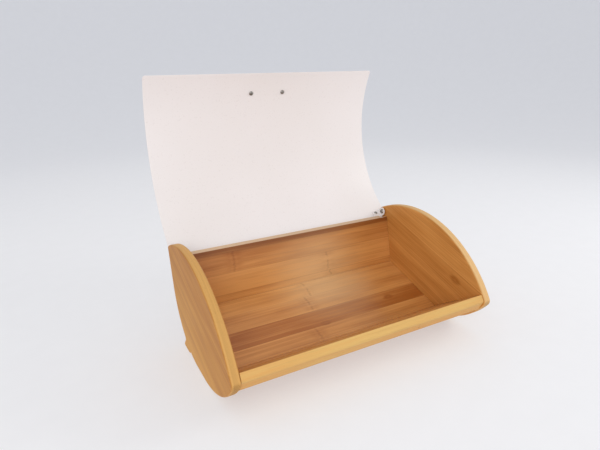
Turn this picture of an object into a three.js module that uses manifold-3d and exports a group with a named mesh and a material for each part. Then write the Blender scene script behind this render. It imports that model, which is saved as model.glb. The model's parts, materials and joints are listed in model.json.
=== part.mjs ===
// A bamboo bread box with a curved sheet-metal lid, shown with the lid swung open.
//
// Millimetres. +X runs to the right across the width, +Y to the back and +Z up.
// Everything is drawn in a cross-section plane (y, z) and carried across the width along X.
// The lid is drawn closed, lying on the side panels, and then swung open about its pivots.

import * as THREE from 'three';
import { mergeVertices } from 'three/addons/utils/BufferGeometryUtils.js';
import Module from 'manifold-3d';

const wasm = await Module();
wasm.setup();

// ---------------------------------------------------------------- driving dimensions

const innerWidth = 370;          // between the inside faces of the side panels
const panelThickness = 12;       // side panels
const panelEdgeEase = 1.2;       // their edges are eased by this much
const boardThickness = 7;        // floor, back and front boards
const gap = 0.3;                 // left between parts that touch

const crownCentre = new THREE.Vector2(32.5, -30.5);   // centre of the panels' round top edge
const crownRadius = 189;
const crownFront = 152.2;        // polar angles in degrees where the round top edge ends
const crownBack = 64.5;

const pivot = new THREE.Vector2(103, 136);            // the lid turns about X through here
const openAngle = 122;           // from lying closed to fully open, in degrees

const sheetThickness = 0.8;
const sheetInnerRadius = crownRadius + 0.5;
const sheetOuterRadius = sheetInnerRadius + sheetThickness;
const sheetFront = 150.8;        // polar angles of the sheet's free edge and its hinge edge
const sheetBack = crownBack;
const sheetHalfWidth = innerWidth / 2 + 10;           // the sheet lies on the panels' edges
const notchHalfWidth = innerWidth / 2 - 1.5;          // and passes between them at the hinge
const notchLength = 20;          // along the sheet from its hinge edge

const insideCorner = new THREE.Vector2(78, 48.5);     // floor meets back board, inside faces
const floorFront = new THREE.Vector2(-38, 11);        // floor meets front board, inside faces
const backBoardTop = 128;        // height of the back board's inside top corner
const backBoardLean = 10.5;      // degrees from the vertical

const railTop = new THREE.Vector2(-126.85, 68.3);     // inside top corner of the front rail
const railThickness = 19;
const railDepth = 48;            // along the slope, from the top corner to the lower edge
const railBandDrop = 1.5;        // the rail's lid seat lies this far inside the panels' round edge

const halfInner = innerWidth / 2;
const halfOuter = halfInner + panelThickness;

// ---------------------------------------------------------------- materials

const surface = (color, roughness, metalness) =>
  new THREE.MeshStandardMaterial({ color, roughness, metalness });

const materials = {
  panelBamboo: surface('#bd8a4e', 0.5, 0),
  boardBamboo: surface('#a8692f', 0.5, 0),
  railBamboo: surface('#d8b070', 0.45, 0),
  dowelWood: surface('#cfa86c', 0.7, 0),
  whiteEnamel: surface('#ebe5e6', 0.35, 0.1),
  steel: surface('#8f8a84', 0.35, 1),
};

// ---------------------------------------------------------------- plane geometry helpers

const radians = THREE.MathUtils.degToRad;

const direction = (degrees) =>
  new THREE.Vector2(Math.cos(radians(degrees)), Math.sin(radians(degrees)));

const degreesOf = (vector) => THREE.MathUtils.radToDeg(vector.angle());

const along = (start, heading, distance) => start.clone().addScaledVector(heading, distance);

const polar = (centre, radius, degrees) => along(centre, direction(degrees), radius);

const leftOf = (heading) => new THREE.Vector2(-heading.y, heading.x);

// Points on an arc, both ends included, with facets of about `step` degrees.
function arc(centre, radius, from, to, step = 2) {
  const count = Math.max(1, Math.round(Math.abs(to - from) / step));
  const points = [];
  for (let i = 0; i <= count; i += 1) {
    points.push(polar(centre, radius, from + ((to - from) * i) / count));
  }
  return points;
}

// A soft corner between two points, shaped by the sharp corner between them.
const softCorner = (before, corner, after, count = 4) =>
  new THREE.QuadraticBezierCurve(before, corner, after).getPoints(count);

// Softens every corner of a polygon; reach is how far the softening runs along each side.
function softPolygon(corners, reach, count = 3) {
  return corners.flatMap((corner, i) => {
    const previous = corners[(i + corners.length - 1) % corners.length];
    const next = corners[(i + 1) % corners.length];
    const toPrevious = previous.clone().sub(corner).normalize();
    const toNext = next.clone().sub(corner).normalize();
    return softCorner(along(corner, toPrevious, reach), corner, along(corner, toNext, reach), count);
  });
}

// Where the line through a along headingA crosses the line through b along headingB.
function crossing(a, headingA, b, headingB) {
  const between = b.clone().sub(a);
  const distance = between.cross(headingB) / headingA.cross(headingB);
  return along(a, headingA, distance);
}

// ---------------------------------------------------------------- solid helpers

// Carries a closed (y, z) outline along X, with its edges eased by `ease`.
function slab(outline, fromX, toX, ease = 0) {
  const geometry = new THREE.ExtrudeGeometry(new THREE.Shape(outline), {
    depth: toX - fromX - 2 * ease,
    bevelEnabled: ease > 0,
    bevelThickness: ease,
    bevelSize: ease,
    bevelOffset: -ease,
    bevelSegments: 2,
  });
  const extrusionToX = new THREE.Matrix4().makeBasis(
    new THREE.Vector3(0, 1, 0),
    new THREE.Vector3(0, 0, 1),
    new THREE.Vector3(1, 0, 0),
  );
  geometry.applyMatrix4(extrusionToX);
  geometry.translate(fromX + ease, 0, 0);
  return geometry;
}

// Turns a (radius, height) profile about a line that starts at `origin` and runs along `heading`.
function turned(profile, origin, heading, sides = 24) {
  const geometry = new THREE.LatheGeometry(profile, sides);
  const up = new THREE.Vector3(0, 1, 0);
  geometry.applyQuaternion(new THREE.Quaternion().setFromUnitVectors(up, heading));
  geometry.translate(origin.x, origin.y, origin.z);
  return geometry;
}

// A round bar from `start` for `length` along `heading`, with chamfered ends.
function roundBar(start, heading, length, radius, chamfer = 0, sides = 24) {
  const profile = [
    new THREE.Vector2(0, 0),
    new THREE.Vector2(radius - chamfer, 0),
    new THREE.Vector2(radius, chamfer),
    new THREE.Vector2(radius, length - chamfer),
    new THREE.Vector2(radius - chamfer, length),
    new THREE.Vector2(0, length),
  ];
  const distinct = profile.filter((point, i) => i === 0 || !point.equals(profile[i - 1]));
  return turned(distinct, start, heading, sides);
}

function toManifold(geometry) {
  const bare = geometry.clone();
  bare.deleteAttribute('normal');
  bare.deleteAttribute('uv');
  const merged = mergeVertices(bare, 1e-4);
  const vertProperties = new Float32Array(merged.attributes.position.array);
  const triVerts = new Uint32Array(merged.index.array);
  return new wasm.Manifold(new wasm.Mesh({ numProp: 3, vertProperties, triVerts }));
}

function fromManifold(manifold) {
  const mesh = manifold.getMesh();
  const geometry = new THREE.BufferGeometry();
  geometry.setAttribute('position', new THREE.BufferAttribute(new Float32Array(mesh.vertProperties), 3));
  geometry.setIndex(new THREE.BufferAttribute(new Uint32Array(mesh.triVerts), 1));
  geometry.computeVertexNormals();
  return geometry;
}

const cut = (geometry, ...tools) =>
  fromManifold(tools.reduce((solid, tool) => solid.subtract(toManifold(tool)), toManifold(geometry)));

const join = (...pieces) =>
  fromManifold(pieces.slice(1).reduce((solid, piece) => solid.add(toManifold(piece)), toManifold(pieces[0])));

// The mirror image across the middle of the box, still facing outward.
function mirrored(geometry) {
  const copy = geometry.index ? geometry.toNonIndexed() : geometry;
  const position = copy.attributes.position;
  const corner = new THREE.Vector3();
  const points = [];
  for (let i = 0; i < position.count; i += 3) {
    for (const offset of [0, 2, 1]) {
      corner.fromBufferAttribute(position, i + offset);
      points.push(new THREE.Vector3(-corner.x, corner.y, corner.z));
    }
  }
  const result = new THREE.BufferGeometry().setFromPoints(points);
  result.computeVertexNormals();
  return result;
}

// ---------------------------------------------------------------- side panels

// The lens-shaped panel: a round top edge, a curved front, a flat to stand on, a heel
// near the back and a back edge that leans outward up to the tip beside the pivot.
function panelOutline() {
  const frontCentre = new THREE.Vector2(-25, 135);
  const frontRadius = 135;
  const backCentre = new THREE.Vector2(5, 100);
  const backRadius = 100;
  const backEdgeLean = 11;
  const backTipEase = 4;         // where the tips' soft corners begin, along the edges
  const frontTipEase = 5;
  const heelStart = 289;         // polar angles where the heel leaves the back curve
  const heelEnd = 303;
  const heelFlatFront = 45;      // the flat that the heel stands on
  const heelFlatBack = 67;
  const heelBulge = 3.5;         // how far the heel's rounded back stands past its flat
  const heelBackHeight = 4;

  const frontTip = polar(crownCentre, crownRadius, crownFront);
  const frontTipAngle = degreesOf(frontTip.clone().sub(frontCentre));
  const frontTipSwing = THREE.MathUtils.radToDeg(frontTipEase / frontRadius);
  const frontTipCrownSwing = THREE.MathUtils.radToDeg(frontTipEase / crownRadius);
  const backTip = polar(crownCentre, crownRadius, crownBack);
  const backTipStart = along(backTip, direction(90 - backEdgeLean), -backTipEase);
  const backTipSwing = THREE.MathUtils.radToDeg(backTipEase / crownRadius);

  const heelRoot = polar(backCentre, backRadius, heelStart);
  const heelTop = polar(backCentre, backRadius, heelEnd);
  const heelHollow = new THREE.Vector2((heelRoot.x + heelFlatFront) / 2 + 1, heelRoot.y / 4);
  const heelBackCorner = new THREE.Vector2(heelFlatBack + heelBulge, 0);
  const heelBackEnd = new THREE.Vector2(heelFlatBack + heelBulge - 1, heelBackHeight);
  return [
    ...arc(frontCentre, frontRadius, frontTipAngle + frontTipSwing, 270, 3),
    ...arc(backCentre, backRadius, 270, heelStart, 3).slice(0, -1),
    ...softCorner(heelRoot, heelHollow, new THREE.Vector2(heelFlatFront, 0), 3),
    ...softCorner(new THREE.Vector2(heelFlatBack, 0), heelBackCorner, heelBackEnd, 3),
    ...arc(backCentre, backRadius, heelEnd, 360 - backEdgeLean, 3),
    ...softCorner(backTipStart, backTip, polar(crownCentre, crownRadius, crownBack + backTipSwing), 4),
    ...arc(crownCentre, crownRadius, crownBack + 2 * backTipSwing, crownFront - 2 * frontTipCrownSwing, 2),
    ...softCorner(
      polar(crownCentre, crownRadius, crownFront - frontTipCrownSwing),
      frontTip,
      polar(frontCentre, frontRadius, frontTipAngle + frontTipSwing),
      5,
    ).slice(0, -1),
  ];
}

// ---------------------------------------------------------------- boards between the panels

const backHeading = direction(90 - backBoardLean);
const floorHeading = insideCorner.clone().sub(floorFront).normalize();
const frontHeading = railTop.clone().sub(floorFront).normalize();

// Each board's inside face and the parallel outside face, one board thickness away.
const backOutward = leftOf(backHeading).negate();
const floorOutward = leftOf(floorHeading).negate();
const frontOutward = leftOf(frontHeading);

function mitre(insidePoint, headingA, outwardA, headingB, outwardB) {
  const onA = along(insidePoint, outwardA, boardThickness);
  const onB = along(insidePoint, outwardB, boardThickness);
  return crossing(onA, headingA, onB, headingB);
}

const backMitre = mitre(insideCorner, floorHeading, floorOutward, backHeading, backOutward);
const frontMitre = mitre(floorFront, floorHeading, floorOutward, frontHeading, frontOutward);

function floorOutline() {
  const ease = gap / 2;
  const shift = floorHeading.clone().multiplyScalar(ease);
  return [
    floorFront.clone().add(shift),
    frontMitre.clone().add(shift),
    backMitre.clone().sub(shift),
    insideCorner.clone().sub(shift),
  ];
}

function backOutline() {
  const shift = backHeading.clone().multiplyScalar(gap);
  const length = (backBoardTop - insideCorner.y) / backHeading.y;
  const top = along(insideCorner, backHeading, length);
  const chamfer = 1;
  return [
    insideCorner.clone().add(shift),
    backMitre.clone().add(shift),
    along(along(top, backOutward, boardThickness), backHeading, -chamfer),
    along(top, backOutward, boardThickness - chamfer),
    along(top, backOutward, chamfer),
    along(top, backHeading, -chamfer),
  ];
}

const railRear = along(railTop, frontHeading, -railDepth);

function frontBoardOutline() {
  const start = along(railRear, frontHeading, -gap);
  const shift = frontHeading.clone().multiplyScalar(gap);
  return [
    start,
    along(start, frontOutward, boardThickness),
    frontMitre.clone().add(shift),
    floorFront.clone().add(shift),
  ];
}

// The rail at the front: a lid seat that follows the round of the panels, a short nose,
// and a flat underside parallel to its inside face.
function railOutline() {
  const seatRadius = crownRadius - railBandDrop;
  const seatStart = degreesOf(railTop.clone().sub(crownCentre));
  const seatEndAngle = 151.3;
  const noseSetBack = 16.2;        // down the slope, from the top corner to the nose's lower edge
  const ease = 2.5;

  const seatEnd = polar(crownCentre, seatRadius, seatEndAngle);
  const noseEnd = along(along(railTop, frontOutward, railThickness), frontHeading, -noseSetBack);
  const noseHeading = noseEnd.clone().sub(seatEnd).normalize();
  const undersideEnd = along(railRear, frontOutward, railThickness);
  const easeSwing = THREE.MathUtils.radToDeg(ease / seatRadius);
  return [
    ...arc(crownCentre, seatRadius, seatStart, seatEndAngle - 2 * easeSwing, 1),
    ...softCorner(
      polar(crownCentre, seatRadius, seatEndAngle - easeSwing),
      seatEnd,
      along(seatEnd, noseHeading, ease),
      3,
    ),
    ...softCorner(
      along(noseEnd, noseHeading, -ease),
      noseEnd,
      along(noseEnd, frontHeading, -ease),
      4,
    ),
    ...softCorner(
      along(undersideEnd, frontHeading, ease),
      undersideEnd,
      along(undersideEnd, frontOutward, -ease),
      3,
    ),
    railRear,
  ];
}

// ---------------------------------------------------------------- grooves and dowels

const grooveDepth = 4;
const tongueLength = grooveDepth - gap;
const dowelRadius = 4;
const dowelInPanel = 8;
const dowelInRail = 16;
const dowelChamfer = 0.8;
const dowelOffsets = [14, 36];   // along the rail's slope from its inside top corner
const holeClearance = 1.2 * gap; // more than the gap, because a round hole here has flat facets

// The same outline grown by `gap` on every side, for a board end to slip into.
function grown(outline) {
  const area = THREE.ShapeUtils.area(outline);
  const turn = Math.sign(area);
  return outline.map((point, i) => {
    const previous = outline[(i + outline.length - 1) % outline.length];
    const next = outline[(i + 1) % outline.length];
    const headingIn = point.clone().sub(previous).normalize();
    const headingOut = next.clone().sub(point).normalize();
    const outIn = leftOf(headingIn).multiplyScalar(-turn * gap);
    const outOut = leftOf(headingOut).multiplyScalar(-turn * gap);
    return crossing(point.clone().add(outIn), headingIn, point.clone().add(outOut), headingOut);
  });
}

function boardGrooves() {
  const mouth = halfInner - grooveDepth;
  const bottom = halfInner + grooveDepth;
  return [floorOutline(), backOutline(), frontBoardOutline()].map((outline) =>
    slab(grown(outline), mouth, bottom));
}

function dowelCentres() {
  return dowelOffsets.map((offset) =>
    along(along(railTop, frontHeading, -offset), frontOutward, railThickness / 2));
}

const inSpace = (x, point) => new THREE.Vector3(x, point.x, point.y);
const toRight = new THREE.Vector3(1, 0, 0);

function rightDowel(centre) {
  return roundBar(
    inSpace(halfInner - dowelInRail, centre),
    toRight,
    dowelInRail + dowelInPanel,
    dowelRadius,
    dowelChamfer,
  );
}

function dowelHole(centre) {
  const length = dowelInRail + dowelInPanel + 2 * gap;
  const start = inSpace(halfInner - dowelInRail - gap, centre);
  return roundBar(start, toRight, length, dowelRadius + holeClearance);
}

// ---------------------------------------------------------------- pivots

const screwRadius = 2;
const screwHoleRadius = screwRadius + holeClearance;
const washerRadius = 4.5;
const washerThickness = 1.5;
const earThickness = 1;
const earOuterX = halfInner - washerThickness - 2 * gap;
const earInnerX = earOuterX - earThickness;
const pivotHeadX = earInnerX - gap;
const pivotScrewDepth = 9;       // into the side panel

// A domed head and a plain shank with a blunt point, drawn along the shank from the head's crown.
function screwProfile(headRadius, headHeight, shankRadius, shankLength) {
  const total = headHeight + shankLength;
  return [
    new THREE.Vector2(0, 0),
    new THREE.Vector2(headRadius * 0.55, headHeight * 0.12),
    new THREE.Vector2(headRadius * 0.85, headHeight * 0.4),
    new THREE.Vector2(headRadius, headHeight * 0.8),
    new THREE.Vector2(headRadius, headHeight),
    new THREE.Vector2(shankRadius, headHeight),
    new THREE.Vector2(shankRadius, total - shankRadius),
    new THREE.Vector2(shankRadius * 0.3, total),
    new THREE.Vector2(0, total),
  ];
}

function rightPivotScrew() {
  const headRadius = 4;
  const headHeight = 2.2;
  const shankLength = halfInner + pivotScrewDepth - pivotHeadX;
  const profile = screwProfile(headRadius, headHeight, screwRadius, shankLength);
  return turned(profile, inSpace(pivotHeadX - headHeight, pivot), toRight);
}

function rightPivotWasher() {
  const start = earOuterX + gap;
  const profile = [
    new THREE.Vector2(screwHoleRadius, 0),
    new THREE.Vector2(washerRadius, 0),
    new THREE.Vector2(washerRadius, washerThickness),
    new THREE.Vector2(screwHoleRadius, washerThickness),
    new THREE.Vector2(screwHoleRadius, 0),
  ];
  return turned(profile, inSpace(start, pivot), toRight);
}

function pivotHole() {
  const start = inSpace(earInnerX - 1, pivot);
  const length = halfInner + pivotScrewDepth + gap - start.x;
  return roundBar(start, toRight, length, screwHoleRadius);
}

// ---------------------------------------------------------------- lid

// Outward from the lid's centre of curvature through the pivot, and along the sheet to the front.
const earOutward = pivot.clone().sub(crownCentre).normalize();
const earForward = leftOf(earOutward);
const pivotToSheet = sheetInnerRadius - pivot.distanceTo(crownCentre);
const footUnderSheet = 0.5;      // the flat foot's clearance under the curved sheet
const earBaseRise = pivotToSheet - footUnderSheet - earThickness;
const earBaseBack = -5;
const earBaseFront = 9;
const earBaseInnerX = earInnerX - 14;
const rivetForward = 4;
const rivetX = earInnerX - 8;
const rivetRadius = 1.5;
const rivetSides = 16;

const onEar = (forward, outward) => along(along(pivot, earForward, forward), earOutward, outward);

const sheetLength = radians(sheetFront - sheetBack) * sheetInnerRadius;

const sheetAngleAt = (distanceFromFront) =>
  sheetFront - THREE.MathUtils.radToDeg(distanceFromFront / sheetInnerRadius);

// The curved sheet as a strip of flat facets, its free corners rounded off.
function bareSheet() {
  const cornerRadius = 5;
  const cornerSteps = 4;
  const facets = 48;
  const distances = [];
  for (let i = 0; i < cornerSteps; i += 1) {
    distances.push(cornerRadius * (1 - Math.cos((i / cornerSteps) * (Math.PI / 2))));
  }
  for (let i = 0; i <= facets; i += 1) {
    distances.push(cornerRadius + ((sheetLength - cornerRadius) * i) / facets);
  }
  const positions = [];
  const index = [];
  distances.forEach((distance) => {
    const shortfall = Math.max(0, cornerRadius - distance);
    const inset = cornerRadius - Math.sqrt(cornerRadius ** 2 - shortfall ** 2);
    const halfWidth = sheetHalfWidth - inset;
    const inner = polar(crownCentre, sheetInnerRadius, sheetAngleAt(distance));
    const outer = polar(crownCentre, sheetOuterRadius, sheetAngleAt(distance));
    positions.push(-halfWidth, inner.x, inner.y, halfWidth, inner.x, inner.y);
    positions.push(halfWidth, outer.x, outer.y, -halfWidth, outer.x, outer.y);
  });
  const quad = (a, b, c, d) => index.push(a, c, b, a, d, c);
  for (let i = 0; i + 1 < distances.length; i += 1) {
    const here = 4 * i;
    const next = here + 4;
    for (let side = 0; side < 4; side += 1) {
      const other = (side + 1) % 4;
      quad(here + side, here + other, next + other, next + side);
    }
  }
  const last = 4 * (distances.length - 1);
  quad(3, 2, 1, 0);
  quad(last, last + 1, last + 2, last + 3);
  const geometry = new THREE.BufferGeometry();
  geometry.setAttribute('position', new THREE.Float32BufferAttribute(positions, 3));
  geometry.setIndex(index);
  return geometry;
}

// Takes the sheet's corner away beside the hinge so that it passes between the panels.
function hingeNotch() {
  const margin = 6;
  const notchAngle = sheetAngleAt(sheetLength - notchLength);
  const outline = [
    ...arc(crownCentre, sheetInnerRadius - margin, sheetBack - 3, notchAngle, 3),
    ...arc(crownCentre, sheetOuterRadius + margin, notchAngle, sheetBack - 3, 3),
  ];
  return slab(outline, notchHalfWidth, sheetHalfWidth + margin);
}

const handleScrewSpacing = 55;
const handleScrewFromFront = 33;
const handleScrewAngle = sheetAngleAt(handleScrewFromFront);
const handleOutward = direction(handleScrewAngle);
const handleForward = leftOf(handleOutward);

const outwardInSpace = (heading) => new THREE.Vector3(0, heading.x, heading.y);

const holeReach = 4;             // how far a cutting bar stands out on both sides of the sheet

function handleScrewHole(x) {
  const start = polar(crownCentre, sheetInnerRadius - holeReach, handleScrewAngle);
  const length = 2 * holeReach + sheetThickness;
  return roundBar(inSpace(x, start), outwardInSpace(handleOutward), length, screwHoleRadius);
}

function rivetHole(x) {
  const start = onEar(rivetForward, earBaseRise - holeReach);
  const length = 2 * holeReach + earThickness + footUnderSheet + sheetThickness;
  const radius = rivetRadius + holeClearance;
  return roundBar(inSpace(x, start), outwardInSpace(earOutward), length, radius, 0, rivetSides);
}

function lidSheet() {
  return cut(
    bareSheet(),
    hingeNotch(),
    mirrored(hingeNotch()),
    handleScrewHole(handleScrewSpacing / 2),
    handleScrewHole(-handleScrewSpacing / 2),
    rivetHole(rivetX),
    rivetHole(-rivetX),
  );
}

// An angle bracket: a round-ended ear beside the panel and a foot riveted under the sheet.
function rightEar() {
  const earRadius = 7;
  const footTop = earBaseRise + earThickness;
  const roundEnd = arc(new THREE.Vector2(0, 0), earRadius, 180, 360, 15)
    .map((point) => onEar(-point.x, point.y));
  const earOutline = [
    ...roundEnd,
    onEar(earBaseBack, earBaseRise),
    onEar(earBaseBack, footTop),
    onEar(earRadius, footTop),
  ];
  const flange = slab(earOutline, earInnerX, earOuterX);
  const footOutline = [
    onEar(earBaseBack, earBaseRise),
    onEar(earBaseFront, earBaseRise),
    onEar(earBaseFront, footTop),
    onEar(earBaseBack, footTop),
  ];
  const foot = slab(footOutline, earBaseInnerX, earOuterX);
  return cut(join(flange, foot), pivotHole(), rivetHole(rivetX));
}

function rightRivet() {
  const headHeight = 1;
  const headRadius = 3;
  const grip = pivotToSheet + sheetThickness - earBaseRise + 2 * gap;
  const total = grip + 2 * headHeight;
  const profile = [
    new THREE.Vector2(0, 0),
    new THREE.Vector2(headRadius * 0.6, headHeight * 0.15),
    new THREE.Vector2(headRadius, headHeight * 0.8),
    new THREE.Vector2(headRadius, headHeight),
    new THREE.Vector2(rivetRadius, headHeight),
    new THREE.Vector2(rivetRadius, headHeight + grip),
    new THREE.Vector2(headRadius, headHeight + grip),
    new THREE.Vector2(headRadius, total - headHeight * 0.8),
    new THREE.Vector2(headRadius * 0.6, total - headHeight * 0.15),
    new THREE.Vector2(0, total),
  ];
  const start = onEar(rivetForward, earBaseRise - gap - headHeight);
  return turned(profile, inSpace(rivetX, start), outwardInSpace(earOutward), rivetSides);
}

// ---------------------------------------------------------------- handle

const handleLength = 96;
const handleHeight = 20;
const handleBase = 0.5;          // the flat base's clearance over the curved sheet
const handleHalfFoot = 7;
const handleWaist = 8;           // height where the grip starts to widen
const handleGripFront = 10;
const handleGripBack = 8;
const handleSoftening = 3;
const handleScrewReach = 14;     // into the handle

const handleSeat = polar(crownCentre, sheetOuterRadius, handleScrewAngle);

const onHandle = (forward, outward) =>
  along(along(handleSeat, handleForward, forward), handleOutward, outward);

// A bamboo grip bar on the outside of the lid, narrower where it meets the sheet.
function lidHandle() {
  const outline = softPolygon([
    onHandle(-handleHalfFoot, handleBase),
    onHandle(handleHalfFoot, handleBase),
    onHandle(handleHalfFoot, handleWaist),
    onHandle(handleGripFront, handleHeight),
    onHandle(-handleGripBack, handleHeight),
    onHandle(-handleHalfFoot, handleWaist),
  ], handleSoftening);
  const bar = slab(outline, -handleLength / 2, handleLength / 2, 1);
  return cut(bar, handlePilot(handleScrewSpacing / 2), handlePilot(-handleScrewSpacing / 2));
}

function handlePilot(x) {
  const start = onHandle(0, -holeReach);
  const length = holeReach + handleScrewReach + gap;
  return roundBar(inSpace(x, start), outwardInSpace(handleOutward), length, screwHoleRadius);
}

function handleScrew(x) {
  const headRadius = 3.5;
  const headHeight = 2;
  const shankLength = gap + sheetThickness + handleScrewReach;
  const profile = screwProfile(headRadius, headHeight, screwRadius, shankLength);
  const crown = onHandle(0, -sheetThickness - gap - headHeight);
  return turned(profile, inSpace(x, crown), outwardInSpace(handleOutward));
}

// ---------------------------------------------------------------- assembly

// Swings a lid part from closed to open about the pivots.
function opened(geometry) {
  const copy = geometry.clone();
  copy.translate(0, -pivot.x, -pivot.y);
  copy.rotateX(radians(-openAngle));
  copy.translate(0, pivot.x, pivot.y);
  return copy;
}

const fixedParts = {};
const lidParts = {};

function addPair(parts, leftName, rightName, geometry, material) {
  parts[leftName] = [mirrored(geometry), material];
  parts[rightName] = [geometry, material];
}

function buildFixedParts() {
  const dowels = dowelCentres();
  const holes = dowels.map(dowelHole);
  const panel = cut(
    slab(panelOutline(), halfInner, halfOuter, panelEdgeEase),
    ...boardGrooves(),
    ...holes,
    pivotHole(),
  );
  addPair(fixedParts, 'left_side_panel', 'right_side_panel', panel, materials.panelBamboo);

  const boardEnd = halfInner + tongueLength;
  fixedParts.floor_board = [slab(floorOutline(), -boardEnd, boardEnd), materials.boardBamboo];
  fixedParts.back_board = [slab(backOutline(), -boardEnd, boardEnd), materials.boardBamboo];
  fixedParts.front_board = [slab(frontBoardOutline(), -boardEnd, boardEnd), materials.boardBamboo];

  const rail = slab(railOutline(), -halfInner + gap, halfInner - gap);
  fixedParts.front_rail = [cut(rail, ...holes, ...holes.map(mirrored)), materials.railBamboo];

  const places = ['upper', 'lower'];
  dowels.forEach((centre, i) => {
    const dowel = rightDowel(centre);
    addPair(
      fixedParts,
      `left_${places[i]}_rail_dowel`,
      `right_${places[i]}_rail_dowel`,
      dowel,
      materials.dowelWood,
    );
  });
  addPair(fixedParts, 'left_pivot_washer', 'right_pivot_washer', rightPivotWasher(), materials.steel);
  addPair(fixedParts, 'left_pivot_screw', 'right_pivot_screw', rightPivotScrew(), materials.steel);
}

function buildLidParts() {
  lidParts.lid_sheet = [lidSheet(), materials.whiteEnamel];
  addPair(lidParts, 'left_hinge_ear', 'right_hinge_ear', rightEar(), materials.whiteEnamel);
  addPair(lidParts, 'left_ear_rivet', 'right_ear_rivet', rightRivet(), materials.steel);
  lidParts.lid_handle = [lidHandle(), materials.railBamboo];
  lidParts.left_handle_screw = [handleScrew(-handleScrewSpacing / 2), materials.steel];
  lidParts.right_handle_screw = [handleScrew(handleScrewSpacing / 2), materials.steel];
}

// Puts the origin on the base, at the middle of the open box's extent.
function centreOnBase(group) {
  const box = new THREE.Box3().setFromObject(group);
  const middle = box.getCenter(new THREE.Vector3());
  group.children.forEach((mesh) => mesh.geometry.translate(0, -middle.y, -box.min.z));
}

function build() {
  buildFixedParts();
  buildLidParts();
  const group = new THREE.Group();
  group.name = 'bread_box';
  const add = (name, geometry, material) => {
    const mesh = new THREE.Mesh(geometry, material);
    mesh.name = name;
    group.add(mesh);
  };
  Object.entries(fixedParts).forEach(([name, [geometry, material]]) => add(name, geometry, material));
  Object.entries(lidParts).forEach(([name, [geometry, material]]) => add(name, opened(geometry), material));
  centreOnBase(group);
  return group;
}

export default build();
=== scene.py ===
"""Looks for a bamboo bread box whose curved sheet-metal lid swings open on two side pivots.

Metres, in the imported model's frame: +X runs right along the width, +Y to the back and +Z up.
Cross-sections are drawn in the (y, z) plane, with angles in degrees from +Y towards +Z. The lid's
pieces are drawn closed, lying on the side panels, and then swung open, as the model stands at rest.
"""

import json
import math

import bmesh
import bpy
from mathutils import Matrix, Vector


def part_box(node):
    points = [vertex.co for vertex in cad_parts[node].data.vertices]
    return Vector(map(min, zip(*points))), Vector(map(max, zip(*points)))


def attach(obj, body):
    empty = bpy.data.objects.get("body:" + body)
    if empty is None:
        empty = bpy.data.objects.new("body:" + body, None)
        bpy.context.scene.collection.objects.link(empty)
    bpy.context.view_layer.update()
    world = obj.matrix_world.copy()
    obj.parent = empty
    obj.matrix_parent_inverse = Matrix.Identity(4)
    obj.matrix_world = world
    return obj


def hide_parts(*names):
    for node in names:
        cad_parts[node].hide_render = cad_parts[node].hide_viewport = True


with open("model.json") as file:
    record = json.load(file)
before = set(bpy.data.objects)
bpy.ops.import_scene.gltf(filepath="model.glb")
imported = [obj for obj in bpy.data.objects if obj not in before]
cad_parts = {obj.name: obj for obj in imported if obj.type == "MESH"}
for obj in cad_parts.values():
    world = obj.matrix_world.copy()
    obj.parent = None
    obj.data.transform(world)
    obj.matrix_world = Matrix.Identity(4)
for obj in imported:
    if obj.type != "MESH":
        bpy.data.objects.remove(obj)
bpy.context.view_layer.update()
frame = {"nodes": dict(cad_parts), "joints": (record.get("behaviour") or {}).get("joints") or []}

# ---------------- driving dimensions

HINGE = frame["joints"][0]
PIVOT = Vector(HINGE["pos_m"][1:])
OPEN_ANGLE = math.radians(HINGE["range_deg"][1])
SECTION_ORIGIN = PIVOT - Vector((0.103, 0.136))


def section(y, z):
    """A point of the cross-section, from the section's own origin to the model's frame."""
    return SECTION_ORIGIN + Vector((y, z))


INNER_X, OUTER_X = [corner.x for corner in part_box("right_side_panel")]
BOARD_END_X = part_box("floor_board")[1].x
RAIL_END_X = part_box("front_rail")[1].x
GAP = 0.0003

CROWN_CENTRE = section(0.0325, -0.0305)
CROWN_RADIUS = 0.189
CROWN_FRONT = 152.2
CROWN_BACK = 64.5

SHEET_THICKNESS = 0.0008
SHEET_RADIUS = CROWN_RADIUS + 0.0005
SHEET_FRONT = 150.8
SHEET_LENGTH = math.radians(SHEET_FRONT - CROWN_BACK) * SHEET_RADIUS
SHEET_HALF_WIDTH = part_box("lid_sheet")[1].x
NOTCH_HALF_WIDTH = INNER_X - 0.0015
NOTCH_LENGTH = 0.020

INSIDE_CORNER = section(0.078, 0.0485)
FLOOR_FRONT = section(-0.038, 0.011)
BOARD_THICKNESS = 0.007
BOARD_JOINT = 0.00003
BACK_BOARD_TOP = 0.128
BACK_BOARD_LEAN = 10.5
BACK_TOP_RISE = 0.0036

RAIL_TOP = section(-0.12685, 0.0683)
RAIL_THICKNESS = 0.019
RAIL_DEPTH = 0.048
SEAT_DROP = 0.0015

STRIP_WIDTH = 0.0315

ALONG_X = Vector((1, 0, 0))
UP = Vector((0, 0, 1))

# ---------------- plane geometry


def direction(degrees):
    return Vector((math.cos(math.radians(degrees)), math.sin(math.radians(degrees))))


def polar(centre, radius, degrees):
    return centre + radius * direction(degrees)


def degrees_of(vector):
    return math.degrees(math.atan2(vector.y, vector.x)) % 360


def left_of(heading):
    return Vector((-heading.y, heading.x))


def arc(centre, radius, start, end, step=1.0):
    count = max(1, round(abs(end - start) / step))
    return [polar(centre, radius, start + (end - start) * i / count) for i in range(count + 1)]


def on_crown(degrees):
    return polar(CROWN_CENTRE, CROWN_RADIUS, degrees)


def soft_corner(before, corner, after, count=6):
    """A quadratic curve from before to after, pulled towards the sharp corner between them."""
    ts = [i / count for i in range(count + 1)]
    return [(1 - t) ** 2 * before + 2 * t * (1 - t) * corner + t**2 * after for t in ts]


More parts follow.
